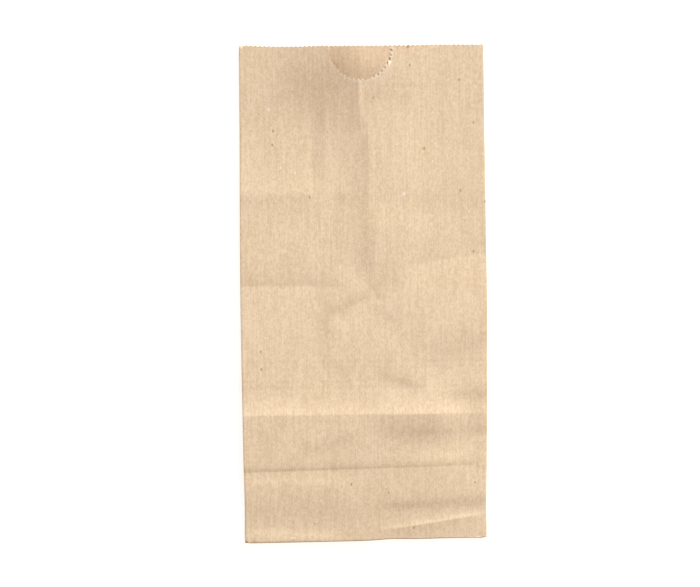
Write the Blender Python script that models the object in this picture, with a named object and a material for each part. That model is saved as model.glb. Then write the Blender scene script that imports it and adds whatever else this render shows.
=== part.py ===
"""A brown paper bag with side gussets and a block bottom, folded flat from one sheet.

The bag lies on its back: the front panel faces up, the mouth is at +Y, and the
bottom is folded up flat underneath, at the -Y end. Lengths are in metres.
The middle of the paper's thickness is drawn ply by ply and fold by fold, and
the paper then gets its thickness on both sides of that surface.
"""

import math
from itertools import pairwise

import bmesh
import bpy
from mathutils import Vector

# Driving dimensions of the bag
BAG_WIDTH = 0.130
BAG_LENGTH = 0.265
GUSSET_DEPTH = 0.079
SHEET = 0.00015
PLY_GAP = 0.0002

# How the folded plies lie on each other
FOLD_EASE = 0.003
SETTLE_START = 0.0015
SETTLE_LENGTH = 0.018

# The toothed cut across the mouth, and the thumb notch in the front panel
TOOTH_PITCH = 0.0024
TOOTH_DEPTH = 0.0007
MOUTH_DIP = 0.0008
FRONT_LAG = 0.0024
NOTCH_RADIUS = 0.0172
NOTCH_DEPTH = 0.0182
NOTCH_TOOTH_PITCH = 0.0025
NOTCH_TOOTH_DEPTH = 0.0013

# The glued tabs of the bottom and the glued seam down the back
TAB_OVERLAP = 0.025
SEAM_WIDTH = 0.010
SEAM_SHIFT = 0.004

# Kraft paper
PAPER_COLOUR = (0.76, 0.57, 0.37, 1.0)
PAPER_ROUGHNESS = 0.8

# The plies where all of them lie on each other, from the lowest up
BOTTOM, CORNER_TUCK, EDGE_TUCK, BACK_STRIP, BACK, BACK_GUSSET, FRONT_GUSSET, FRONT = range(8)

# The plies that run together in each corner of the folded bottom, from the top down
END_CORNER = (FRONT, FRONT_GUSSET, CORNER_TUCK, BOTTOM)
GUSSET_CORNER = (FRONT_GUSSET, BACK_GUSSET, EDGE_TUCK, CORNER_TUCK)
BACK_CORNER = (BACK_GUSSET, BACK, BACK_STRIP, EDGE_TUCK)
FLAP_CORNER = (BACK_STRIP, EDGE_TUCK, CORNER_TUCK, BOTTOM)

# Derived sizes
PITCH = SHEET + PLY_GAP
TAB_SHEETS = 2
BOTTOM_HEIGHT = (TAB_SHEETS + 0.5) * SHEET
END_SINK = BACK * PITCH
MOUTH_SINK = END_SINK + SHEET
END_BULGE = (FRONT - BACK - BOTTOM) * PITCH / 2
SIDE_BULGE = PITCH / 2

# Derived places: the sides, the gussets' inner folds, and the bottom's folds
SIDE = BAG_WIDTH / 2 - SIDE_BULGE - SHEET / 2
GUSSET_FOLD = SIDE - GUSSET_DEPTH / 2
END = -BAG_LENGTH / 2 + END_BULGE + SHEET / 2
BACK_FOLD = END + GUSSET_DEPTH / 2
FLAP_EDGE = END + GUSSET_DEPTH
MOUTH = BAG_LENGTH / 2
SETTLE = FLAP_EDGE + SETTLE_START
TAB_REACH = GUSSET_DEPTH / 2 + TAB_OVERLAP / 2

FOLD_STEPS = 4
SETTLE_STEPS = 6
WELD = 1e-6


def clear_scene():
    """Removes every object that the scene holds."""
    for thing in list(bpy.data.objects):
        bpy.data.objects.remove(thing, do_unlink=True)


def sink(y):
    """How far the four upper plies lie below their full height at this place."""
    if y < BACK_FOLD:
        return END_SINK * (BACK_FOLD - y) / (BACK_FOLD - END)
    share = min(max((y - SETTLE) / SETTLE_LENGTH, 0.0), 1.0)
    return MOUTH_SINK * share * share * (3 - 2 * share)


def height(ply, y):
    """Height of the middle of a ply's thickness."""
    full = BOTTOM_HEIGHT + ply * PITCH
    return full - sink(y) if ply >= BACK else full


def between(start, end):
    """A fold's two ends, and the two places beside them where it opens to its full roundness."""
    return [start, start + FOLD_EASE, end - FOLD_EASE, end]


def settle_rows():
    """Places along the slope where the upper plies come down past the flap's edge."""
    return [SETTLE + SETTLE_LENGTH * step / SETTLE_STEPS for step in range(SETTLE_STEPS + 1)]


END_ROWS = between(END, BACK_FOLD)
BODY_ROWS = [BACK_FOLD, BACK_FOLD + FOLD_EASE, *settle_rows()]


def tooth_count(length, pitch):
    """How many whole teeth fit a cut."""
    return max(round(length / pitch), 1)


def mouth_cut(start, end):
    """Points of the toothed cut that goes through every ply at the mouth, from start to end.

    The cut dips a little between the bag's corners.
    """
    half_pitch = SIDE / tooth_count(2 * SIDE, TOOTH_PITCH)

    def depth(x):
        phase = ((x + SIDE) / half_pitch) % 2
        return TOOTH_DEPTH * abs(1 - phase) + MOUTH_DIP * (1 - (x / SIDE) ** 2)

    first = math.floor((start + SIDE) / half_pitch) + 1
    last = math.ceil((end + SIDE) / half_pitch) - 1
    places = [start, *(step * half_pitch - SIDE for step in range(first, last + 1)), end]
    return [(x, MOUTH - depth(x)) for x in places]


def notch_cut():
    """Points of the round toothed notch, from its left end on the front edge to its right end."""
    edge = MOUTH - TOOTH_DEPTH - MOUTH_DIP
    middle = edge - NOTCH_DEPTH + NOTCH_RADIUS
    rise = math.asin(min((edge - middle) / NOTCH_RADIUS, 1.0))
    sweep = math.pi + 2 * rise
    steps = 2 * tooth_count(sweep * NOTCH_RADIUS, NOTCH_TOOTH_PITCH)
    points = []
    for step in range(steps + 1):
        angle = math.pi - rise + sweep * step / steps
        radius = NOTCH_RADIUS - (step % 2) * NOTCH_TOOTH_DEPTH
        points.append((radius * math.cos(angle), middle + radius * math.sin(angle)))
    return points


def front_cut():
    """The front panel's edge at the mouth: cut a little short to the right of its notch."""
    notch = notch_cut()
    left = [point for point in mouth_cut(-SIDE, SIDE) if point[0] < notch[0][0]]
    right = [point for point in mouth_cut(-SIDE, SIDE) if point[0] > notch[-1][0]]
    reach = SIDE - notch[-1][0]
    lagging = [(x, y - FRONT_LAG * (SIDE - x) / reach) for x, y in right]
    return [*left, *notch, *lagging]


class FoldedSheet:
    """The middle surface of the folded paper, as faces that share their edges."""

    def __init__(self):
        self.mesh = bmesh.new()

    def face(self, points):
        """One flat piece of paper, from the points around it."""
        self.mesh.faces.new([self.mesh.verts.new(point) for point in points])

    def panel(self, ply, outline):
        """A piece of one ply, from the outline that it has seen from above."""
        self.face([(x, y, height(ply, y)) for x, y in outline])

    def rows(self, ply, left, right, places):
        """A ply between two long edges, as one face between each place and the next."""
        for low, high in pairwise(places):
            self.panel(ply, [(left, low), (right, low), (right, high), (left, high)])

    def strip(self, first, second):
        """Fills the space between two rows of points, which may differ in number."""
        i = j = 0
        while i < len(first) - 1 or j < len(second) - 1:
            first_share = (i + 1) / (len(first) - 1)
            second_share = (j + 1) / (len(second) - 1)
            if first_share <= second_share:
                self.face([first[i], first[i + 1], second[j]])
                i += 1
            else:
                self.face([first[i], second[j + 1], second[j]])
                j += 1

    def fold(self, line, upper, lower, outward, start=(), end=()):
        """A rounded fold along a line, from an upper ply round to a lower one.

        start and end name the plies of the corner that the fold closes in, if it does.
        """
        sections = []
        for index, (x, y) in enumerate(line):
            corner = start if index == 0 else end if index == len(line) - 1 else ()
            top, low = height(upper, y), height(lower, y)
            if corner:
                plies = [ply for ply in corner if lower <= ply <= upper]
                sections.append([Vector((x, y, height(ply, y))) for ply in plies])
                continue
            middle = Vector((x, y, (top + low) / 2))
            section = []
            for step in range(FOLD_STEPS + 1):
                angle = math.pi * (0.5 - step / FOLD_STEPS)
                reach = outward * math.cos(angle) + Vector((0, 0, math.sin(angle)))
                section.append(middle + reach * (top - low) / 2)
            sections.append(section)
        for first, second in pairwise(sections):
            self.strip(first, second)

    def object(self, name):
        """The finished surface as an object."""
        bmesh.ops.remove_doubles(self.mesh, verts=self.mesh.verts, dist=WELD)
        bmesh.ops.recalc_face_normals(self.mesh, faces=self.mesh.faces)
        return object_from(self.mesh, name)


def object_from(mesh, name):
    """Puts a finished mesh into the scene under its name."""
    data = bpy.data.meshes.new(name)
    mesh.to_mesh(data)
    mesh.free()
    thing = bpy.data.objects.new(name, data)
    bpy.context.collection.objects.link(thing)
    return thing


def full_width(y):
    """A line across the bag, with the places where its fold opens and closes."""
    return [(x, y) for x in between(-SIDE, SIDE)]


def add_front(sheet):
    """The front panel, with the notch and the toothed cut at its mouth."""
    sheet.panel(FRONT, [*full_width(END), (SIDE, END_ROWS[1]), (-SIDE, END_ROWS[1])])
    sheet.rows(FRONT, -SIDE, SIDE, END_ROWS[1:])
    sheet.rows(FRONT, -SIDE, SIDE, BODY_ROWS)
    top = BODY_ROWS[-1]
    sheet.panel(FRONT, [(SIDE, top), (-SIDE, top), *front_cut()])


def add_back(sheet):
    """The back panel, from the fold under the bag up to the mouth."""
    sheet.panel(BACK, [*full_width(BACK_FOLD), (SIDE, BODY_ROWS[1]), (-SIDE, BODY_ROWS[1])])
    sheet.rows(BACK, -SIDE, SIDE, BODY_ROWS[1:])
    top = BODY_ROWS[-1]
    sheet.panel(BACK, [(SIDE, top), (-SIDE, top), *mouth_cut(-SIDE, SIDE)])
    sheet.fold(full_width(BACK_FOLD), BACK, BACK_STRIP, Vector((0, -1, 0)), BACK_CORNER, BACK_CORNER)


def add_bottom(sheet):
    """The bottom panel, the strip of the back that folds down to it, and their folds."""
    sides = between(END, FLAP_EDGE)[1:-1]
    right = [(SIDE, y) for y in sides]
    left = [(-SIDE, y) for y in reversed(sides)]
    sheet.panel(BOTTOM, [*full_width(END), *right, *reversed(full_width(FLAP_EDGE)), *left])
    sides = between(BACK_FOLD, FLAP_EDGE)[1:-1]
    right = [(SIDE, y) for y in sides]
    left = [(-SIDE, y) for y in reversed(sides)]
    sheet.panel(BACK_STRIP, [*full_width(BACK_FOLD), *right, *reversed(full_width(FLAP_EDGE)), *left])
    sheet.fold(full_width(END), FRONT, BOTTOM, Vector((0, -1, 0)), END_CORNER, END_CORNER)
    sheet.fold(full_width(FLAP_EDGE), BACK_STRIP, BOTTOM, Vector((0, 1, 0)), FLAP_CORNER, FLAP_CORNER)


def add_gusset(sheet, side):
    """One gusset, tucked in between the panels; side is 1 at the right and -1 at the left."""

    def across(points):
        return [(side * x, y) for x, y in points]

    def outward(x, y):
        return Vector((side * x, y, 0)).normalized()

    end_slant = [(SIDE - (y - END), y) for y in between(END, BACK_FOLD)]
    flap_slant = [(SIDE - (FLAP_EDGE - y), y) for y in between(BACK_FOLD, FLAP_EDGE)]
    back_line = [(x, BACK_FOLD) for x in between(GUSSET_FOLD, SIDE)]
    strip_side = [(SIDE, y) for y in between(BACK_FOLD, FLAP_EDGE)]
    bottom_side = [(SIDE, y) for y in between(END, FLAP_EDGE)]
    cut = mouth_cut(GUSSET_FOLD, SIDE)
    top = BODY_ROWS[-1]

    # The front half runs down to the slanted fold, and the back half to the back fold
    for low, high in pairwise(end_slant):
        shape = [low, (SIDE, low[1]), (SIDE, high[1]), high]
        sheet.panel(FRONT_GUSSET, across(shape if low[0] < SIDE else shape[1:]))
    sheet.rows(FRONT_GUSSET, side * GUSSET_FOLD, side * SIDE, BODY_ROWS)
    sheet.panel(BACK_GUSSET, across([*back_line, (SIDE, BODY_ROWS[1]), (GUSSET_FOLD, BODY_ROWS[1])]))
    sheet.rows(BACK_GUSSET, side * GUSSET_FOLD, side * SIDE, BODY_ROWS[1:])
    for ply in (FRONT_GUSSET, BACK_GUSSET):
        sheet.panel(ply, across([(SIDE, top), (GUSSET_FOLD, top), *cut]))

    # The two tucks that turn the gusset's end in between the back strip and the bottom
    sheet.panel(EDGE_TUCK, across([*back_line, *strip_side[1:], *reversed(flap_slant[1:-1])]))
    sheet.panel(CORNER_TUCK, across([*bottom_side, *reversed(flap_slant[:-1]), *reversed(end_slant[1:-1])]))

    # The folds, each with the side that it bulges to
    front_side = [(SIDE, y) for y in [*END_ROWS, *BODY_ROWS[1:]]] + [cut[-1]]
    back_side = [(SIDE, y) for y in BODY_ROWS] + [cut[-1]]
    inner_side = [(GUSSET_FOLD, y) for y in BODY_ROWS] + [cut[0]]
    sheet.fold(across(front_side), FRONT, FRONT_GUSSET, outward(1, 0), END_CORNER)
    sheet.fold(across(back_side), BACK_GUSSET, BACK, outward(1, 0), BACK_CORNER)
    sheet.fold(across(inner_side), FRONT_GUSSET, BACK_GUSSET, outward(-1, 0), GUSSET_CORNER)
    sheet.fold(across(back_line), BACK_GUSSET, EDGE_TUCK, outward(0, -1), GUSSET_CORNER, BACK_CORNER)
    sheet.fold(across(strip_side), BACK_STRIP, EDGE_TUCK, outward(1, 0), BACK_CORNER, FLAP_CORNER)
    sheet.fold(across(flap_slant), EDGE_TUCK, CORNER_TUCK, outward(-1, 1), GUSSET_CORNER, FLAP_CORNER)
    sheet.fold(across(end_slant), FRONT_GUSSET, CORNER_TUCK, outward(-1, -1), END_CORNER, GUSSET_CORNER)
    sheet.fold(across(bottom_side), CORNER_TUCK, BOTTOM, outward(1, 0), END_CORNER, FLAP_CORNER)


def plate(name, outline, sheets):
    """A glued-on ply under the bottom panel: a flat plate that grows out of the panel's middle."""
    mesh = bmesh.new()
    low = BOTTOM_HEIGHT - (sheets + 0.5) * SHEET
    base = mesh.faces.new([mesh.verts.new((x, y, low)) for x, y in outline])
    raised = bmesh.ops.extrude_face_region(mesh, geom=[base])["geom"]
    moved = [item for item in raised if isinstance(item, bmesh.types.BMVert)]
    bmesh.ops.translate(mesh, verts=moved, vec=(0, 0, BOTTOM_HEIGHT - low))
    bmesh.ops.recalc_face_normals(mesh, faces=mesh.faces)
    return object_from(mesh, name)


def tab_outline(fold_line, direction):
    """A glued tab: full width at its fold, slanted sides, and a toothed free edge."""
    corner = SIDE - FOLD_EASE
    narrow = max(corner - TAB_REACH, TOOTH_PITCH)
    steps = 2 * tooth_count(2 * narrow, TOOTH_PITCH)
    free_edge = fold_line + direction * TAB_REACH
    outline = [(-corner, fold_line), (corner, fold_line)]
    for step in range(steps + 1):
        x = narrow - 2 * narrow * step / steps
        outline.append((x, free_edge - direction * (step % 2) * TOOTH_DEPTH))
    return outline


def seam(name):
    """The overlap of the tube's seam, down the outside of the back panel to the flap's edge."""
    mesh = bmesh.new()
    left = SEAM_SHIFT - SEAM_WIDTH / 2
    right = SEAM_SHIFT + SEAM_WIDTH / 2
    sections = []
    for y in [*settle_rows(), MOUTH - MOUTH_DIP - 2 * TOOTH_DEPTH]:
        top = height(BACK, y)
        low = top - 1.5 * SHEET
        corners = [(left, y, low), (right, y, low), (right, y, top), (left, y, top)]
        sections.append([mesh.verts.new(corner) for corner in corners])
    for first, second in pairwise(sections):
        for side in range(4):
            after = (side + 1) % 4
            mesh.faces.new([first[side], first[after], second[after], second[side]])
    mesh.faces.new(sections[0])
    mesh.faces.new(sections[-1])
    bmesh.ops.recalc_face_normals(mesh, faces=mesh.faces)
    return object_from(mesh, name)


def join(body, addition):
    """Makes a glued-on ply one piece with the sheet."""
    addition.hide_render = True
    addition.display_type = "WIRE"
    union = body.modifiers.new(addition.name, "BOOLEAN")
    union.operation = "UNION"
    union.solver = "EXACT"
    union.object = addition


def kraft_paper():
    """Brown kraft paper."""
    material = bpy.data.materials.new("kraft_paper")
    material.use_nodes = True
    shader = material.node_tree.nodes["Principled BSDF"]
    shader.inputs["Base Color"].default_value = PAPER_COLOUR
    shader.inputs["Roughness"].default_value = PAPER_ROUGHNESS
    shader.inputs["Metallic"].default_value = 0.0
    return material


def build_bag():
    """Folds the sheet, gives it its thickness and glues its tabs and seam."""
    sheet = FoldedSheet()
    add_front(sheet)
    add_back(sheet)
    add_bottom(sheet)
    add_gusset(sheet, 1)
    add_gusset(sheet, -1)
    bag = sheet.object("paper_bag")
    bag.data.materials.append(kraft_paper())
    thickness = bag.modifiers.new("paper_thickness", "SOLIDIFY")
    thickness.thickness = SHEET
    thickness.offset = 0.0
    thickness.solidify_mode = "NON_MANIFOLD"
    thickness.nonmanifold_thickness_mode = "CONSTRAINTS"
    thickness.nonmanifold_boundary_mode = "NONE"
    join(bag, plate("inner_tab", tab_outline(FLAP_EDGE, -1), 1))
    join(bag, plate("outer_tab", tab_outline(END, 1), TAB_SHEETS))
    join(bag, seam("back_seam"))


clear_scene()
build_bag()
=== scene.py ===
"""A brown kraft paper bag, folded flat, on a white studio floor.

The bag's folded solid comes from the frame, with its toothed cuts. This script gives
it the paper's own surface: a finer mesh that carries the paper's creases, bends and
curl, and a kraft paper finish with torn fibres round the notch, partly the torn
paper's own pale fibres and partly a painted highlight towards the lamp. Lengths are in metres
where a note doesn't say millimetres, with +X to the bag's right, +Y towards its mouth
and +Z up out of the front panel.
"""

import logging
import math
from dataclasses import dataclass, field
from enum import Enum

import bpy
import numpy as np
from mathutils import Euler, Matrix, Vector


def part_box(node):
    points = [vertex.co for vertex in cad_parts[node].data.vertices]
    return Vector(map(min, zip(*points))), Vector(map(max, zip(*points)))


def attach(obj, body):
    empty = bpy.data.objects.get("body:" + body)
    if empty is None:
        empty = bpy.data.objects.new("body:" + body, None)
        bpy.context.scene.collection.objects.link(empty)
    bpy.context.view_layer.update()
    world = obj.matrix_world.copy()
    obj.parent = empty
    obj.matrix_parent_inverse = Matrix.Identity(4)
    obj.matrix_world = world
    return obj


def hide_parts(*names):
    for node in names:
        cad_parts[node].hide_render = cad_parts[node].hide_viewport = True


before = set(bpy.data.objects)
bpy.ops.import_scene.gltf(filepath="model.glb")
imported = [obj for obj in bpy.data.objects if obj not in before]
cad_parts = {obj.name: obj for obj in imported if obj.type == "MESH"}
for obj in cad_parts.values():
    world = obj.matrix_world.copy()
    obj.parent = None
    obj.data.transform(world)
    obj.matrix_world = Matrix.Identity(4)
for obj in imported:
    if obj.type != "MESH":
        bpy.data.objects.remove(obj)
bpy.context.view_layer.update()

NODE = "paper_bag"
BODY = "root"
INSIDE = "inside"
WHITE = (1, 1, 1, 1)
MIX_FIRST = 6  # a Mix node's input for its first colour
MIX_SECOND = 7  # its input for its second colour
MIX_RESULT = 2  # its output for a colour
PER_METRE = 1000.0  # millimetres in a metre
WELD = 1e-6  # metres within which two points are one

log = logging.getLogger("paper_bag")


def millimetres(value: float) -> float:
    """A length in millimetres, as metres."""
    return value / PER_METRE


def choose_only(thing: bpy.types.Object) -> None:
    """Makes one object the only selected one, and the active one.

    Args:
        thing: The object that the next operators act on.
    """
    bpy.ops.object.select_all(action="DESELECT")
    thing.select_set(True)
    bpy.context.view_layer.objects.active = thing


def smooth(share: np.ndarray) -> np.ndarray:
    """A soft run from 0 to 1 as share goes from 0 to 1, and level outside that."""
    held = np.clip(share, 0.0, 1.0)
    return held * held * (3 - 2 * held)


class Profile(Enum):
    """What a crease looks like across its line."""

    FOLD = "fold"
    STEP = "step"


@dataclass(frozen=True)
class Crease:
    """A line pressed into the paper. All its lengths are in millimetres.

    Attributes:
        profile: A fold is a ridge, or a valley where its rise is below zero. A step has
            its high side at the left when one looks from start to end.
        start: One end, from the bag's middle.
        end: The other end.
        rise: Height of the ridge or of the step.
        width: Rounding of the line, or half the width of the step.
        left: How far the crease carries on at its left before the sheet is level.
        right: The same at its right.
        taper: Length over which it fades in at each end.
    """

    profile: Profile
    start: tuple[float, float]
    end: tuple[float, float]
    rise: float
    width: float
    left: float
    right: float
    taper: float = 12.0

    def height(self, x: np.ndarray, y: np.ndarray) -> np.ndarray:
        """Height that the crease adds.

        Args:
            x: Places across the bag, in millimetres.
            y: Places along the bag, in millimetres.

        Returns:
            The added heights, in millimetres.
        """
        heading, length = self.heading()
        along = (x - self.start[0]) * heading.x + (y - self.start[1]) * heading.y
        across = (y - self.start[1]) * heading.x - (x - self.start[0]) * heading.y
        taper = min(self.taper, length / 2)
        ends = smooth(along / taper) * smooth((length - along) / taper)
        reach = np.where(across > 0, self.left, self.right)
        away = np.sqrt(across ** 2 + self.width ** 2) - self.width
        if self.profile is Profile.FOLD:
            return self.rise * ends * np.exp(-away / reach)
        return 0.5 * self.rise * ends * np.tanh(across / self.width) * np.exp(-np.abs(across) / reach)

    def heading(self) -> tuple[Vector, float]:
        """The line's direction, and its length in millimetres."""
        run = Vector(self.end) - Vector(self.start)
        return run.normalized(), run.length


@dataclass(frozen=True)
class Swell:
    """A soft high or low place in the paper.

    Attributes:
        centre: Its middle, in millimetres from the bag's middle.
        reach: Its two radii, in millimetres, before it is turned.
        rise: Its height, in millimetres; a hollow's is below zero.
        turn: How far its long way is turned from +X, in degrees.
    """

    centre: tuple[float, float]
    reach: tuple[float, float]
    rise: float
    turn: float = 0.0

    def height(self, x: np.ndarray, y: np.ndarray) -> np.ndarray:
        """Height that the swell adds.

        Args:
            x: Places across the bag, in millimetres.
            y: Places along the bag, in millimetres.

        Returns:
            The added heights, in millimetres.
        """
        angle = math.radians(self.turn)
        dx, dy = x - self.centre[0], y - self.centre[1]
        u = (dx * math.cos(angle) + dy * math.sin(angle)) / self.reach[0]
        v = (dy * math.cos(angle) - dx * math.sin(angle)) / self.reach[1]
        return self.rise * np.exp(-(u * u + v * v))


@dataclass(frozen=True)
class Cockle:
    """The uneven lie of paper that has taken up damp: low waves that cross each other.

    Attributes:
        rise: Height of the largest waves, in millimetres.
        longest: Length of the largest waves, in millimetres.
        waves: How many waves cross.
        seed: Start of the random draws.
        shortest: Length of the smallest waves, as a share of the largest ones'.
        lean: How close together the waves lie along the bag, as a share of that across it.
    """

    rise: float
    longest: float
    waves: int
    seed: int
    shortest: float = 0.25
    lean: float = 0.6

    def height(self, x: np.ndarray, y: np.ndarray) -> np.ndarray:
        """Height that the waves add.

        Args:
            x: Places across the bag, in millimetres.
            y: Places along the bag, in millimetres.

        Returns:
            The added heights, in millimetres.
        """
        draw = np.random.default_rng(self.seed)
        total = np.zeros_like(x)
        for _ in range(self.waves):
            length = self.longest * draw.uniform(self.shortest, 1.0)
            heading = draw.uniform(0, math.tau)
            phase = draw.uniform(0, math.tau)
            along = x * math.cos(heading) + self.lean * y * math.sin(heading)
            total += (length / self.longest) * np.sin(along * math.tau / length + phase)
        return self.rise * total / math.sqrt(self.waves)


def fold(start: tuple[float, float], end: tuple[float, float], rise: float,
         left: float, right: float, width: float, taper: float) -> Crease:
    """A ridge, or a valley where rise is below zero."""
    return Crease(Profile.FOLD, start, end, rise, width, left, right, taper)


def step(start: tuple[float, float], end: tuple[float, float], rise: float,
         width: float, fade: float, taper: float = 12.0) -> Crease:
    """A step, high at its left, which fades alike on both sides."""
    return Crease(Profile.STEP, start, end, rise, width, fade, fade, taper)


@dataclass
class PaperRelief:
    """How the folded paper lies: what presses through it, its bends and its curl.

    All its lengths are in millimetres.

    Attributes:
        bottom: What the bottom, folded up behind, presses into the front panel.
        seam: What the back's seam and the pull of its glue do to the front panel.
        gussets: Creases over the gussets' folds.
        bends: Bends across the bag from its handling.
        curl: Where the whole bag lifts off the floor.
        inner: Where the back panel rises or sinks behind the notch and at the mouth.
        across: How far the whole bag's places stray towards +X, as its sides bow out.
        along: How far they stray towards +Y, as its ends run a little crooked.
        cockle: The paper's own waves.
        slack: How much higher than its plain place the front panel stays past the bottom.
        slack_start: Where that starts along the bag, from its middle.
        slack_climb: Length over which the panel rises to that height.
        slack_fall: Length over which it comes down again.
        base: Height of the front panel above its plain folded place.
        lowest: The least that it may be above that place.
    """

    bottom: list[Crease] = field(default_factory=lambda: [
        fold((-68, -94.6), (68, -92.2), -0.34, 2.4, 11, 0.3, 3),
        step((-75, -98.5), (5, -99.5), -0.50, 3.5, 14, 24),
        step((-75, -114), (20, -117), 0.25, 5, 12, 25),
        step((0, -114.0), (78, -111.5), 1.2, 5.5, 9, 20),
        fold((4, -128), (68, -118.5), 0.32, 1.5, 4, 0.4, 14),
        step((-75, -127), (-5, -129), -0.75, 4, 12, 20),
        fold((-110, -64.3), (66, -64.3), 0.95, 6.5, 60, 0.5, 36),
        fold((-4, -64.3), (110, -64.3), 0.80, 30, 11, 0.5, 34),
        step((-2, -74), (85, -74), 1.30, 7, 14, 26),
        step((-36, -86), (0, -73), 0.8, 5, 9),
        step((14, -88), (60, -86), -0.60, 4, 10, 16),
        Crease(Profile.STEP, (34, -54.5), (95, -52), rise=2.0, width=7.5, left=14, right=34, taper=20),
        step((26, -40), (100, -12), 2.6, 14, 34, 24),
        step((-75, -50), (-30, -50), 0.35, 4, 14),
    ])
    seam: list[Crease] = field(default_factory=lambda: [
        fold((2.9, 10), (2.9, 104), 0.85, 10, 14, 0.6, 24),
        fold((-1.6, 84), (-1.6, 128), 0.60, 9, 6, 0.4, 14),
        fold((4.3, 3), (8.5, 50), 0.60, 4.5, 10, 0.6, 16),
        step((-20, -13), (4, 2), 0.95, 3.5, 8, 8),
        step((-18, -8), (-24, -42), 0.80, 4, 9),
        step((-17, 54), (-6, 48), 0.8, 5, 9, 5.5),
        fold((3.6, 5), (8.0, -6), -0.22, 1.6, 3.0, 0.5, 4),
        fold((-1.0, 96), (-1.0, 114), 0.12, 2.0, 0.7, 0.3, 3),
    ])
    gussets: list[Crease] = field(default_factory=lambda: [
        fold((-26.6, 44), (-26.6, 112), -0.45, 8, 6, 1.4, 24),
        fold((-20.0, 48), (-20.0, 112), 0.35, 5, 5, 0.6, 22),
        fold((23.6, 8), (23.6, 90), 0.20, 4, 5, 0.6, 18),
    ])
    bends: list[Crease] = field(default_factory=lambda: [
        fold((-85, 4.3), (-6, 4.3), -0.60, 7, 50, 0.5, 20),
        fold((-85, 52), (-14, 54), 0.50, 12, 6, 2.5, 18),
        fold((18, 14.0), (75, 23), -0.50, 12, 14, 0.5, 14),
        step((18, 52), (75, 46), 0.7, 10, 18, 14),
        step((4, -42), (36, -52), 0.9, 4.5, 9, 14),
        step((6, -9), (24, -17), 0.7, 6, 9, 9),
    ])
    curl: list[Swell] = field(default_factory=lambda: [
        Swell((-4, 136), (30, 34), 3.6),
        Swell((16, 66), (15, 30), 0.7),
        Swell((-26, 124), (28, 16), 0.85, 40),
    ])
    inner: list[Swell] = field(default_factory=lambda: [
        Swell((3, 117), (17, 15), 1.1),
        Swell((13, 118), (8, 8), 0.4),
        Swell((17, 126.5), (8, 10), 0.8),
        Swell((-19, 116), (9, 9), -0.6),
        Swell((22, 133), (7, 8), 0.8),
        Swell((40, 138), (30, 6), 0.9),
    ])
    across: list[Swell] = field(default_factory=lambda: [
        Swell((66, 0), (45, 75), 0.8),
        Swell((-66, 0), (45, 75), -0.8),
        Swell((66, -112), (40, 16), -0.3),
        Swell((-66, -112), (40, 16), 0.3),
        Swell((0, 125), (30, 25), -1.2),
    ])
    along: list[Swell] = field(default_factory=lambda: [
        Swell((14, -134), (9, 12), 0.6),
        Swell((45, -134), (30, 14), 0.65),
        Swell((-42, 134), (20, 30), -0.55),
        Swell((40, 134), (20, 30), 0.55),
    ])
    cockle: Cockle = Cockle(rise=0.05, longest=34.0, waves=24, seed=7)
    slack: float = 1.55
    slack_start: float = -51.4
    slack_climb: float = 18.0
    slack_fall: float = 120.0
    base: float = 0.6
    lowest: float = -0.1

    def pressed(self, x: np.ndarray, y: np.ndarray) -> np.ndarray:
        """Height of the front panel above its plain folded place.

        Args:
            x: Places across the bag, in metres.
            y: Places along the bag, in metres.

        Returns:
            The heights, in metres.
        """
        total = self._sum([*self.bottom, *self.seam, *self.gussets, *self.bends, self.cockle], x, y)
        past = y * PER_METRE - self.slack_start
        falling = smooth(1 - (past - self.slack_climb) / self.slack_fall)
        slack = self.slack * smooth(past / self.slack_climb) * falling
        return np.maximum(total + millimetres(self.base + slack), millimetres(self.lowest))

    def lifted(self, x: np.ndarray, y: np.ndarray) -> np.ndarray:
        """Height that every ply lifts off the floor, in metres."""
        return self._sum(self.curl, x, y)

    def risen(self, x: np.ndarray, y: np.ndarray) -> np.ndarray:
        """Height that the back panel alone rises, in metres."""
        return self._sum(self.inner, x, y)

    def strayed(self, x: np.ndarray, y: np.ndarray) -> tuple[np.ndarray, np.ndarray]:
        """How far places stray towards +X and towards +Y, in metres."""
        return self._sum(self.across, x, y), self._sum(self.along, x, y)

    def lines(self) -> list[Crease]:
        """The sharp creases, which the front panel's mesh follows."""
        found = [*self.bottom, *self.seam, *self.gussets, *self.bends]
        return [crease for crease in found if crease.profile is Profile.FOLD]

    def _sum(self, parts: list, x: np.ndarray, y: np.ndarray) -> np.ndarray:
        """The sum of several features' heights, or of their shifts, in metres."""
        return sum(part.height(x * PER_METRE, y * PER_METRE) for part in parts) / PER_METRE


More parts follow.
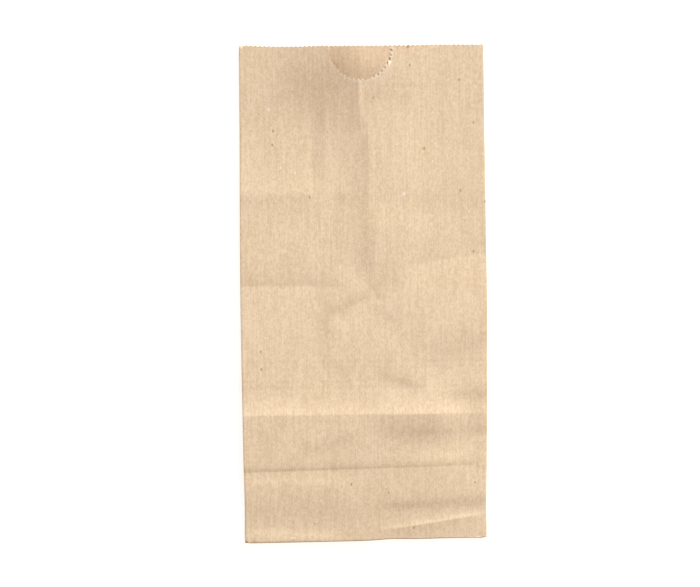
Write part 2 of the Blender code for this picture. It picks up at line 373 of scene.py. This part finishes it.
@dataclass
class FoldedBag:
    """The folded sheet, finer and creased as the real paper is.

    All its lengths are in metres.

    Attributes:
        cell: Side of the mesh's cells.
        front_cuts: How many cuts more each cell of the front panel's outer face gets.
        flat_angle: Angle under which two faces of the solid are one, in degrees.
        level: Least upward part of the normal of a face that lies level.
        sliver: Width under which a strip of the front panel's face is merged away.
        sharp_angle: Angle over which an edge stays sharp, in degrees.
        low_ply: Height below which a ply lies still.
        inner_face: Heights between which the back panel's inner face lies.
        mouth_part: Share of the bag's length, from its middle, past which that face shows.
        bottom_depth: Length of the bag's end that holds the folded bottom's thickest part.
        end_drop: How much lower the front panel lies at the bag's end.
        past_bottom: Where it starts to come down past the bottom, from the bag's end.
        past_length: Length over which it comes down.
        past_drop: How much lower it lies past that.
        under_face: How far under its outer face its other points begin.
        relief: How the paper lies.
        box: The solid's own box.
    """

    cell: float = 0.003
    front_cuts: int = 2
    flat_angle: float = 0.3
    level: float = 0.9
    sliver: float = 0.00003
    sharp_angle: float = 35.0
    low_ply: float = 0.00031
    inner_face: tuple[float, float] = (0.00026, 0.0011)
    mouth_part: float = 0.35
    bottom_depth: float = 0.0402
    end_drop: float = 0.0014
    past_bottom: float = 0.0812
    past_length: float = 0.018
    past_drop: float = 0.00155
    under_face: float = 0.0001
    relief: PaperRelief = field(default_factory=PaperRelief)
    box: tuple = field(default_factory=lambda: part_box(NODE))

    def build(self) -> bpy.types.Object:
        """Builds the bag from its solid.

        Returns:
            The finished object, at the origin and with its place in its mesh.
        """
        bag = self._copy_of_solid()
        self._cut_cells(bag)
        self._refine_front(bag)
        self._mark_inside(bag)
        self._press(bag)
        choose_only(bag)
        bpy.ops.object.shade_smooth_by_angle(angle=math.radians(self.sharp_angle))
        return bag

    def _copy_of_solid(self) -> bpy.types.Object:
        """A separate, merged copy of the solid, with its flat places as whole faces."""
        solid = bpy.data.objects[NODE]
        bag = bpy.data.objects.new("kraft_bag", solid.data.copy())
        bpy.context.scene.collection.objects.link(bag)
        bag.data.materials.clear()
        choose_only(bag)
        bpy.ops.object.mode_set(mode="EDIT")
        bpy.ops.mesh.select_all(action="SELECT")
        bpy.ops.mesh.remove_doubles(threshold=WELD)
        bpy.ops.mesh.dissolve_limited(angle_limit=math.radians(self.flat_angle))
        bpy.ops.object.mode_set(mode="OBJECT")
        return bag

    def _cut_cells(self, bag: bpy.types.Object) -> None:
        """Cuts the whole bag into cells along X and along Y."""
        low, high = self.box
        choose_only(bag)
        bpy.ops.object.mode_set(mode="EDIT")
        for axis in (0, 1):
            normal = Vector((axis == 0, axis == 1, 0))
            count = round((high[axis] - low[axis]) / self.cell)
            for number in range(1, count):
                place = low[axis] + (high[axis] - low[axis]) * number / count
                bpy.ops.mesh.select_all(action="SELECT")
                bpy.ops.mesh.bisect(plane_co=normal * place, plane_no=normal, threshold=WELD)
        bpy.ops.object.mode_set(mode="OBJECT")

    def _refine_front(self, bag: bpy.types.Object) -> None:
        """Makes the front panel's outer face finer, and cuts it along its creases."""
        self._select_front(bag)
        bpy.ops.mesh.remove_doubles(threshold=self.sliver)
        bpy.ops.object.mode_set(mode="OBJECT")
        self._select_front(bag)
        bpy.ops.mesh.subdivide(number_cuts=self.front_cuts)
        bpy.ops.object.mode_set(mode="OBJECT")
        for crease in self.relief.lines():
            heading, _ = crease.heading()
            beside = Vector((-heading.y, heading.x, 0))
            start = Vector((*crease.start, 0))
            for shift in (-crease.width, 0, crease.width):
                self._select_front(bag)
                spot = (start + beside * shift) / PER_METRE
                bpy.ops.mesh.bisect(plane_co=spot, plane_no=beside, threshold=WELD)
                bpy.ops.object.mode_set(mode="OBJECT")

    def _select_front(self, bag: bpy.types.Object) -> None:
        """Opens the bag for editing with the front panel's outer face selected."""
        mesh = bag.data
        count = len(mesh.polygons)
        middles, normals = np.empty(count * 3), np.empty(count * 3)
        mesh.polygons.foreach_get("center", middles)
        mesh.polygons.foreach_get("normal", normals)
        middles, normals = middles.reshape(-1, 3), normals.reshape(-1, 3)
        level = normals[:, 2] > self.level
        front = level & (middles[:, 2] > self._front_height(middles[:, 1]))
        choose_only(bag)
        bpy.ops.object.mode_set(mode="EDIT")
        bpy.ops.mesh.select_mode(type="FACE")
        bpy.ops.mesh.select_all(action="DESELECT")
        bpy.ops.object.mode_set(mode="OBJECT")
        mesh.polygons.foreach_set("select", front)
        bpy.ops.object.mode_set(mode="EDIT")

    def _front_height(self, y: np.ndarray) -> np.ndarray:
        """Heights just under the front panel's outer face at these places along the bag."""
        low, high = self.box
        from_end = y - low[1]
        at_end = self.end_drop * np.clip(1 - from_end / self.bottom_depth, 0, 1)
        past_end = self.past_drop * smooth((from_end - self.past_bottom) / self.past_length)
        return high[2] - at_end - past_end - self.under_face

    def _spots(self, bag: bpy.types.Object) -> np.ndarray:
        """The mesh's places, one to a row."""
        spots = np.empty(len(bag.data.vertices) * 3)
        bag.data.vertices.foreach_get("co", spots)
        return spots.reshape(-1, 3)

    def _mark_inside(self, bag: bpy.types.Object) -> None:
        """Marks the back panel's inner face near the mouth, for the paper's finish."""
        spots = self._spots(bag)
        low, high = self.inner_face
        inside = (spots[:, 2] > low) & (spots[:, 2] < high)
        inside &= spots[:, 1] > (self.box[1][1] - self.box[0][1]) * self.mouth_part
        mark = bag.data.attributes.new(INSIDE, "FLOAT", "POINT")
        mark.data.foreach_set("value", inside.astype(float))

    def _press(self, bag: bpy.types.Object) -> None:
        """Presses the relief into the sheet, most in the front panel and least underneath."""
        spots = self._spots(bag)
        x, y, z = spots.T
        share = np.clip((z - self.low_ply) / (self._front_height(y) - self.low_ply), 0, 1)
        rise = self.relief.pressed(x, y) * share + self.relief.risen(x, y) * (1 - share)
        lift = self.relief.lifted(x, y)
        aside, ahead = self.relief.strayed(x, y)
        spots += np.stack((aside, ahead, rise + lift), axis=1)
        bag.data.vertices.foreach_set("co", spots.ravel())
        bag.data.update()

    def dress(self, bag: bpy.types.Object) -> None:
        """Gives the bag its paper, and names what it stands for.

        Args:
            bag: The built bag.
        """
        bag.data.materials.append(KraftPaper().material())
        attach(bag, BODY)
        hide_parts(NODE)


class Graph:
    """A material's node tree, with short ways to add to it."""

    def __init__(self, tree: bpy.types.NodeTree) -> None:
        """Keeps the tree and empties it."""
        self.tree = tree
        tree.nodes.clear()

    def add(self, kind: str, settings: dict[str, object] | None = None,
            **sockets: object) -> bpy.types.Node:
        """Adds a node.

        Args:
            kind: Blender's name for the node's type.
            settings: The node's own properties.
            **sockets: Input values or links, with _ for each space in a socket's name.

        Returns:
            The new node.
        """
        node = self.tree.nodes.new(kind)
        for name, value in (settings or {}).items():
            setattr(node, name, value)
        for name, value in sockets.items():
            self.feed(node, name.replace("_", " "), value)
        return node

    def feed(self, node: bpy.types.Node, socket: str | int, value: object) -> None:
        """Links an output to a socket, or sets the socket's value."""
        if isinstance(value, bpy.types.NodeSocket):
            self.tree.links.new(value, node.inputs[socket])
        else:
            node.inputs[socket].default_value = value

    def math(self, operation: str, first: object, second: object) -> bpy.types.NodeSocket:
        """The result of a Math node."""
        node = self.add("ShaderNodeMath", {"operation": operation})
        self.feed(node, 0, first)
        self.feed(node, 1, second)
        return node.outputs[0]

    def mix(self, share: object, first: object, second: object,
            blend: str = "MIX") -> bpy.types.NodeSocket:
        """The result of blending two colours, by a share of the second one."""
        node = self.add("ShaderNodeMix", {"data_type": "RGBA", "blend_type": blend})
        self.feed(node, 0, share)
        self.feed(node, MIX_FIRST, first)
        self.feed(node, MIX_SECOND, second)
        return node.outputs[MIX_RESULT]

    def tint(self, share: object, colour: object, tint: object) -> bpy.types.NodeSocket:
        """A colour multiplied by a tint, by a share."""
        return self.mix(share, colour, tint, "MULTIPLY")

    def ramp(self, value: object, low: float, high: float) -> bpy.types.NodeSocket:
        """A value's soft run from 0 at low to 1 at high."""
        node = self.add("ShaderNodeMapRange", {"interpolation_type": "SMOOTHSTEP"})
        self.feed(node, "Value", value)
        self.feed(node, "From Min", low)
        self.feed(node, "From Max", high)
        return node.outputs[0]


@dataclass(frozen=True)
class Unevenness:
    """One layer of the paper's uneven tone.

    Attributes:
        scale: Waves for each metre along X, Y and Z.
        detail: How many finer layers it holds.
        weight: Its part of the paper's tone.
    """

    scale: tuple[float, float, float]
    detail: float
    weight: float

    def tone(self, graph: Graph, place: bpy.types.NodeSocket) -> bpy.types.NodeSocket:
        """The layer's own value at a place, from 0 to 1."""
        mapping = graph.add("ShaderNodeMapping", Vector=place, Scale=self.scale)
        noise = graph.add("ShaderNodeTexNoise", Vector=mapping.outputs[0], Scale=1.0, Detail=self.detail)
        return noise.outputs[0]


@dataclass(frozen=True)
class Flecks:
    """Small separate spots: one in some of the cells of a loose scatter.

    Attributes:
        scale: Cells for each metre along X, Y and Z.
        size: Radius of a spot, as a share of a cell.
        share: Share of the cells that hold a spot.
        shift: Where the scatter starts, in cells, which sets one scatter apart from the next.
        colour: Colour of the spots.
        softness: How far a spot's soft edge reaches, in radii.
        strength: How much of the spots' colour shows.
    """

    scale: tuple[float, float, float]
    size: float
    share: float
    shift: float
    colour: tuple[float, float, float, float]
    softness: float = 2.5
    strength: float = 0.7

    def scatter(self, graph: Graph, place: bpy.types.NodeSocket,
                paper: bpy.types.NodeSocket) -> bpy.types.NodeSocket:
        """The paper's colour with the spots on it."""
        start = (self.shift, self.shift, self.shift)
        mapping = graph.add("ShaderNodeMapping", Vector=place, Scale=self.scale, Location=start)
        cells = graph.add("ShaderNodeTexVoronoi", Vector=mapping.outputs[0], Scale=1.0)
        away = graph.ramp(cells.outputs["Distance"], self.size, self.size * self.softness)
        near = graph.math("SUBTRACT", 1.0, away)
        picked = graph.add("ShaderNodeSeparateColor", Color=cells.outputs["Color"])
        chosen = graph.math("GREATER_THAN", picked.outputs[0], 1.0 - self.share)
        spot = graph.math("MULTIPLY", graph.math("MULTIPLY", near, chosen), self.strength)
        return graph.mix(spot, paper, self.colour)


@dataclass(frozen=True)
class TornRimHighlight:
    """The pale torn fibres in the front panel round the notch: partly the torn paper's own paler fibres,
    partly a painted highlight, as they show only towards the notch's right, where the lamp is.

    Attributes:
        centre: Middle of the notch's circle.
        radius: Its radius.
        inner: How far inside that circle the fibres begin.
        width: How far past it they reach.
        torn: Values of the paper's grain between which the fibres come to show.
        lit: Places across the bag between which they come to catch the light.
        strength: How much they show.
    """

    centre: tuple[float, float, float] = (-0.0011, 0.1300, 0.0)
    radius: float = 0.0172
    inner: float = 0.0004
    width: float = 0.0014
    torn: tuple[float, float] = (0.35, 0.60)
    lit: tuple[float, float] = (-0.026, 0.0)
    strength: float = 0.55

    def share(self, graph: Graph, place: bpy.types.NodeSocket, grain: bpy.types.NodeSocket,
              inside: bpy.types.NodeSocket) -> bpy.types.NodeSocket:
        """How much the fibres and their painted highlight show at a place.

        Args:
            graph: The material's tree.
            place: Where the place is.
            grain: The paper's grain there.
            inside: 1 where the sheet's inner face shows, which has no rim.

        Returns:
            The share of the pale colour: torn fibres, with a painted highlight on their lit side.
        """
        flat = graph.add("ShaderNodeVectorMath", {"operation": "MULTIPLY"})
        graph.feed(flat, 0, place)
        graph.feed(flat, 1, (1, 1, 0))
        away = graph.add("ShaderNodeVectorMath", {"operation": "DISTANCE"})
        graph.feed(away, 0, flat.outputs[0])
        graph.feed(away, 1, self.centre)
        past = graph.ramp(away.outputs["Value"], self.radius - self.inner, self.radius + self.width)
        near = graph.math("SUBTRACT", 1.0, past)
        torn = graph.ramp(grain, *self.torn)
        # Painted highlight: the pale rim shows only towards +X, the notch's side that faces the lamp.
        across = graph.add("ShaderNodeSeparateXYZ", Vector=place).outputs["X"]
        lit = graph.ramp(across, *self.lit)
        outside = graph.math("SUBTRACT", 1.0, inside)
        fibres = graph.math("MULTIPLY", near, torn)
        highlit_side = graph.math("MULTIPLY", lit, outside)
        return graph.math("MULTIPLY", graph.math("MULTIPLY", fibres, highlit_side), self.strength)


@dataclass(frozen=True)
class KraftPaper:
    """Unbleached brown kraft: ribbed along the bag, mottled, with fibres and flecks.

    Attributes:
        light: Colour of the paper's pale places.
        dark: Colour of its dark places.
        fluff_and_highlight: Colour of pale, loose fibres, and of the painted highlight on the notch's
            torn rim.
        inner_tint: What the sheet's inner face, seen through the notch, is multiplied by.
        ribs: The fine ribs along the bag.
        grain: The fibres' own grain.
        clouds: Wide pale and dark places.
        formation: The mottle of the fibres' uneven lie.
        tones: Values of the tone at which the paper is all dark and all light.
        rim: The torn fibres round the notch, painted paler on their lit side as a highlight.
        bark: Dark flecks of bark.
        fibres: Pale fibres.
        dust: The smallest pale specks.
        relief: Parts of the ribs and of the grain in the paper's fine relief.
        relief_height: Height of that relief.
        relief_strength: How much of it shows.
        roughness: Roughness of the surface.
        shine: Strength of its mirror-like part.
    """

    light: tuple[float, float, float, float] = (0.85, 0.66, 0.46, 1)
    dark: tuple[float, float, float, float] = (0.70, 0.52, 0.335, 1)
    fluff_and_highlight: tuple[float, float, float, float] = (0.93, 0.86, 0.76, 1)
    inner_tint: tuple[float, float, float, float] = (0.98, 0.94, 0.93, 1)
    ribs: Unevenness = Unevenness((1000, 36, 700), 2.0, 0.22)
    grain: Unevenness = Unevenness((1500, 760, 1300), 3.0, 0.45)
    clouds: Unevenness = Unevenness((70, 45, 70), 3.0, 0.11)
    formation: Unevenness = Unevenness((520, 330, 400), 2.0, 0.22)
    tones: tuple[float, float] = (0.38, 0.62)
    rim: TornRimHighlight = TornRimHighlight()
    bark: Flecks = Flecks((150, 95, 120), 0.045, 0.20, 3.1, (0.36, 0.23, 0.13, 1))
    fibres: Flecks = Flecks((70, 52, 60), 0.035, 0.225, 9.4, fluff_and_highlight)
    dust: Flecks = Flecks((260, 150, 200), 0.055, 0.07, 5.3, fluff_and_highlight)
    relief: tuple[float, float] = (0.5, 0.5)
    relief_height: float = 0.00006
    relief_strength: float = 0.5
    roughness: float = 0.82
    shine: float = 0.25

    def material(self) -> bpy.types.Material:
        """Builds the paper's material.

        Returns:
            The material.
        """
        material = bpy.data.materials.new("kraft_paper")
        material.use_nodes = True
        graph = Graph(material.node_tree)
        place = graph.add("ShaderNodeTexCoord").outputs["Object"]
        ribs = self.ribs.tone(graph, place)
        grain = self.grain.tone(graph, place)
        paper = self._sheet(graph, place, ribs, grain)
        for flecks in (self.bark, self.fibres, self.dust):
            paper = flecks.scatter(graph, place, paper)
        ribbed = graph.math("MULTIPLY", ribs, self.relief[0])
        height = graph.math("ADD", ribbed, graph.math("MULTIPLY", grain, self.relief[1]))
        bump = graph.add("ShaderNodeBump", Height=height)
        graph.feed(bump, "Strength", self.relief_strength)
        graph.feed(bump, "Distance", self.relief_height)
        shader = graph.add("ShaderNodeBsdfPrincipled", Base_Color=paper, Normal=bump.outputs[0])
        graph.feed(shader, "Roughness", self.roughness)
        graph.feed(shader, "Specular IOR Level", self.shine)
        output = graph.add("ShaderNodeOutputMaterial")
        graph.feed(output, "Surface", shader.outputs[0])
        return material

    def _sheet(self, graph: Graph, place: bpy.types.NodeSocket, ribs: bpy.types.NodeSocket,
               grain: bpy.types.NodeSocket) -> bpy.types.NodeSocket:
        """The sheet's own colour, with its torn rim and that rim's painted highlight, and its inner
        face, without flecks.
        """
        clouds = self.clouds.tone(graph, place)
        formation = self.formation.tone(graph, place)
        ribbed = graph.math("MULTIPLY", ribs, self.ribs.weight)
        tone = graph.math("ADD", ribbed, graph.math("MULTIPLY", grain, self.grain.weight))
        tone = graph.math("ADD", tone, graph.math("MULTIPLY", clouds, self.clouds.weight))
        tone = graph.math("ADD", tone, graph.math("MULTIPLY", formation, self.formation.weight))
        paper = graph.mix(graph.ramp(tone, *self.tones), self.dark, self.light)
        inside = graph.add("ShaderNodeAttribute", {"attribute_name": INSIDE}).outputs["Fac"]
        # The notch's pale rim: torn fibres, with a painted highlight on the side towards the lamp.
        paper = graph.mix(self.rim.share(graph, place, grain, inside), paper, self.fluff_and_highlight)
        return graph.tint(inside, paper, self.inner_tint)


@dataclass(frozen=True)
class Studio:
    """The white floor, the soft light and the camera over the bag.

    Attributes:
        key_strength: Strength of the soft lamp.
        key_height: Its height over the horizon, in degrees.
        key_heading: Where it stands, in degrees from +X towards +Y.
        sky_strength: Strength of the even light all round.
        floor_glow: How much the floor is lightened where the camera sees it.
        key_spread: Width of the lamp as the bag sees it, in degrees.
        key_colour: Colour of the lamp, a little cool.
        sky_colour: Colour of the light all round, warm as paper's own bounced light is.
        camera_place: Where the photograph's camera stands.
        camera_turn: How it is turned, in degrees.
        lens: Its focal length, in millimetres.
        film_width: Width of the picture in it, in millimetres.
        nearest: Distance from it at which things begin to show.
        floor_size: Side of the floor.
        floor_drop: How far under the bag it lies, so that the two don't coincide.
        floor_paint: Colour of the floor where light falls on it.
    """

    key_strength: float = 6.15
    key_height: float = 20.0
    key_heading: float = 60.0
    sky_strength: float = 0.33
    floor_glow: float = 0.72
    key_spread: float = 25.0
    key_colour: tuple[float, float, float] = (0.94, 1.0, 1.05)
    sky_colour: tuple[float, float, float, float] = (1.14, 0.99, 0.86, 1)
    camera_place: tuple[float, float, float] = (-0.0440, 0.0201, 0.7256)
    camera_turn: tuple[float, float, float] = (-1.539, -2.895, -0.561)
    lens: float = 70.0
    film_width: float = 36.0
    nearest: float = 0.01
    floor_size: float = 6.0
    floor_drop: float = 0.0001
    floor_paint: tuple[float, float, float, float] = (0.9, 0.9, 0.9, 1)

    def build(self) -> None:
        """Sets up the floor, the light, the camera and the picture's colours."""
        self._floor()
        self._sky()
        self._key()
        self._camera()
        bpy.context.scene.view_settings.view_transform = "Standard"

    def _floor(self) -> None:
        """A white floor that keeps the bag's shadow."""
        bpy.ops.object.select_all(action="DESELECT")
        bpy.ops.mesh.primitive_plane_add(size=self.floor_size, location=(0, 0, -self.floor_drop))
        floor = bpy.context.active_object
        floor.name = "studio_floor"
        bpy.ops.object.transform_apply(location=True, rotation=True, scale=True)
        material = bpy.data.materials.new("white_floor")
        material.use_nodes = True
        graph = Graph(material.node_tree)
        seen = self._seen_rays(graph)
        paint = graph.add("ShaderNodeBsdfDiffuse", Color=self.floor_paint)
        glow = graph.add("ShaderNodeEmission", Color=WHITE)
        graph.feed(glow, "Strength", graph.math("MULTIPLY", seen, self.floor_glow))
        both = graph.add("ShaderNodeAddShader")
        graph.feed(both, 0, paint.outputs[0])
        graph.feed(both, 1, glow.outputs[0])
        output = graph.add("ShaderNodeOutputMaterial")
        graph.feed(output, "Surface", both.outputs[0])
        floor.data.materials.append(material)

    def _seen_rays(self, graph: Graph) -> bpy.types.NodeSocket:
        """1 for rays that show a thing to the camera, also by reflection, and 0 for light."""
        rays = graph.add("ShaderNodeLightPath")
        seen = graph.math("MAXIMUM", rays.outputs["Is Camera Ray"], rays.outputs["Is Glossy Ray"])
        return graph.math("MAXIMUM", seen, rays.outputs["Is Transmission Ray"])

    def _sky(self) -> None:
        """Even light all round, which the camera sees as plain white."""
        world = bpy.data.worlds.new("studio_light")
        bpy.context.scene.world = world
        world.use_nodes = True
        graph = Graph(world.node_tree)
        seen = self._seen_rays(graph)
        extra = graph.math("MULTIPLY", seen, 1.0 - self.sky_strength)
        strength = graph.math("ADD", extra, self.sky_strength)
        colour = graph.mix(seen, self.sky_colour, WHITE)
        background = graph.add("ShaderNodeBackground", Color=colour, Strength=strength)
        output = graph.add("ShaderNodeOutputWorld")
        graph.feed(output, "Surface", background.outputs[0])

    def _key(self) -> None:
        """One soft lamp, low at the upper right of the picture."""
        lamp = bpy.data.lights.new("soft_key", "SUN")
        lamp.energy = self.key_strength
        lamp.angle = math.radians(self.key_spread)
        lamp.color = self.key_colour
        key = bpy.data.objects.new("soft_key", lamp)
        heading = math.radians(self.key_heading)
        height = math.radians(self.key_height)
        level = math.cos(height)
        away = Vector((math.cos(heading) * level, math.sin(heading) * level, math.sin(height)))
        key.rotation_euler = away.to_track_quat("Z", "Y").to_euler()
        key.location = away
        bpy.context.scene.collection.objects.link(key)

    def _camera(self) -> None:
        """The camera over the bag, a little towards its mouth and left of it."""
        view = bpy.data.cameras.new("photo_camera")
        view.lens = self.lens
        view.sensor_width = self.film_width
        view.clip_start = self.nearest
        camera = bpy.data.objects.new("photo_camera", view)
        camera.location = self.camera_place
        camera.rotation_euler = Euler([math.radians(turn) for turn in self.camera_turn], "XYZ")
        bpy.context.scene.collection.objects.link(camera)
        bpy.context.scene.camera = camera


def main() -> None:
    """Builds the studio and the bag, in order."""
    logging.basicConfig(level=logging.INFO, format="%(name)s: %(message)s")
    Studio().build()
    log.info("studio: floor, light and camera are set")
    maker = FoldedBag()
    bag = maker.build()
    maker.dress(bag)
    log.info("%s: %d vertices, %d faces", bag.name, len(bag.data.vertices), len(bag.data.polygons))


if __name__ == "__main__":
    main()
